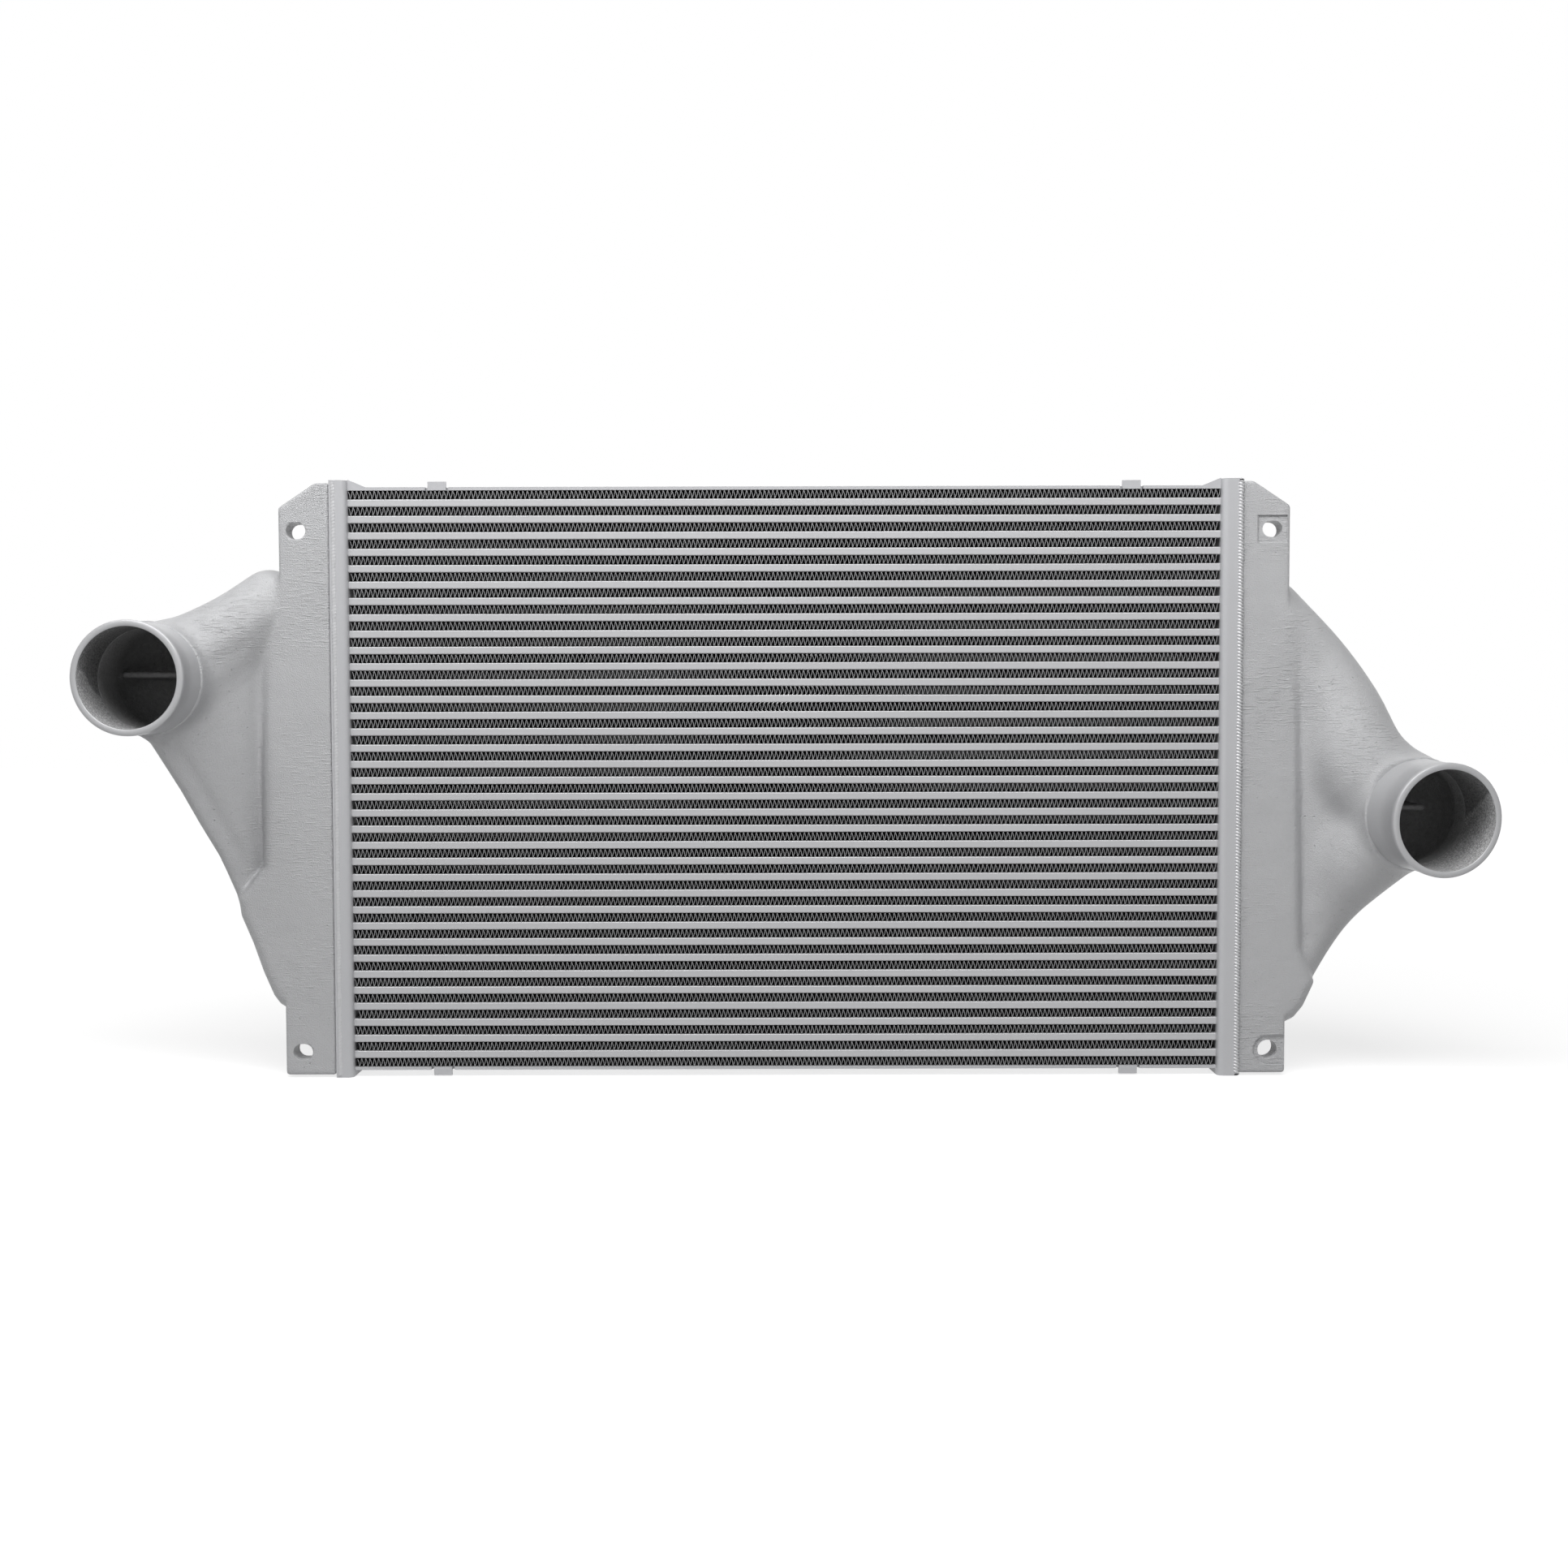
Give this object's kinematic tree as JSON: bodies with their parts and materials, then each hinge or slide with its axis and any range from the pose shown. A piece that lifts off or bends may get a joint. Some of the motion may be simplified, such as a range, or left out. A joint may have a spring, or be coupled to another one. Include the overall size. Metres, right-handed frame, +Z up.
{
  "type": "intercooler",
  "caption": "Air-to-air charge cooler: flat-tube and fin core between slotted headers, with cast side tanks, angled hose necks and mounting ears.",
  "frame": {"origin": "midway between the centres of the two upper mounting slots, on the front face of the tanks and their ears", "axes": "+X to the right seen from the front (the side of the hose necks), +Y from the front to the back along the outside air's way, +Z up"},
  "size_m": [1.271, 0.1645, 0.5591],
  "materials": {
    "tank_casting": "cast aluminium with a thin silver-grey coat, fine sand texture",
    "header_plate": "pressed sheet with a thin silver-grey coat, smooth",
    "side_plate": "bent sheet with a thin silver-grey coat",
    "tube_aluminium": "drawn and brazed, silver-grey coat",
    "fin_aluminium": "thin corrugated sheet, satin",
    "turbulator_aluminium": "thin folded sheet, satin",
    "weld_bead": "rippled weld bead under the coat"
  },
  "bodies": {
    "root": {"charge_air_tube_01": "tube_aluminium", "charge_air_tube_02": "tube_aluminium", "charge_air_tube_03": "tube_aluminium", "charge_air_tube_04": "tube_aluminium", "charge_air_tube_05": "tube_aluminium", "charge_air_tube_06": "tube_aluminium", "charge_air_tube_07": "tube_aluminium", "charge_air_tube_08": "tube_aluminium", "charge_air_tube_09": "tube_aluminium", "charge_air_tube_10": "tube_aluminium", "charge_air_tube_11": "tube_aluminium", "charge_air_tube_12": "tube_aluminium", "charge_air_tube_13": "tube_aluminium", "charge_air_tube_14": "tube_aluminium", "charge_air_tube_15": "tube_aluminium", "charge_air_tube_16": "tube_aluminium", "charge_air_tube_17": "tube_aluminium", "charge_air_tube_18": "tube_aluminium", "charge_air_tube_19": "tube_aluminium", "charge_air_tube_20": "tube_aluminium", "charge_air_tube_21": "tube_aluminium", "charge_air_tube_22": "tube_aluminium", "charge_air_tube_23": "tube_aluminium", "charge_air_tube_24": "tube_aluminium", "charge_air_tube_25": "tube_aluminium", "charge_air_tube_26": "tube_aluminium", "charge_air_tube_27": "tube_aluminium", "charge_air_tube_28": "tube_aluminium", "charge_air_tube_29": "tube_aluminium", "charge_air_tube_30": "tube_aluminium", "charge_air_tube_31": "tube_aluminium", "charge_air_tube_32": "tube_aluminium", "charge_air_tube_33": "tube_aluminium", "charge_air_tube_34": "tube_aluminium", "charge_air_tube_35": "tube_aluminium", "air_fins_01": "fin_aluminium", "air_fins_02": "fin_aluminium", "air_fins_03": "fin_aluminium", "air_fins_04": "fin_aluminium", "air_fins_05": "fin_aluminium", "air_fins_06": "fin_aluminium", "air_fins_07": "fin_aluminium", "air_fins_08": "fin_aluminium", "air_fins_09": "fin_aluminium", "turbulators_01": "turbulator_aluminium", "turbulators_02": "turbulator_aluminium", "turbulators_03": "turbulator_aluminium", "tank_left": "tank_casting", "funnel_left": "tank_casting", "header_left": "header_plate", "header_weld_left": "weld_bead", "tank_right": "tank_casting", "funnel_right": "tank_casting", "header_right": "header_plate", "header_weld_right": "weld_bead", "side_plate_top": "side_plate", "side_plate_bottom": "side_plate"}
  },
  "joints": []
}
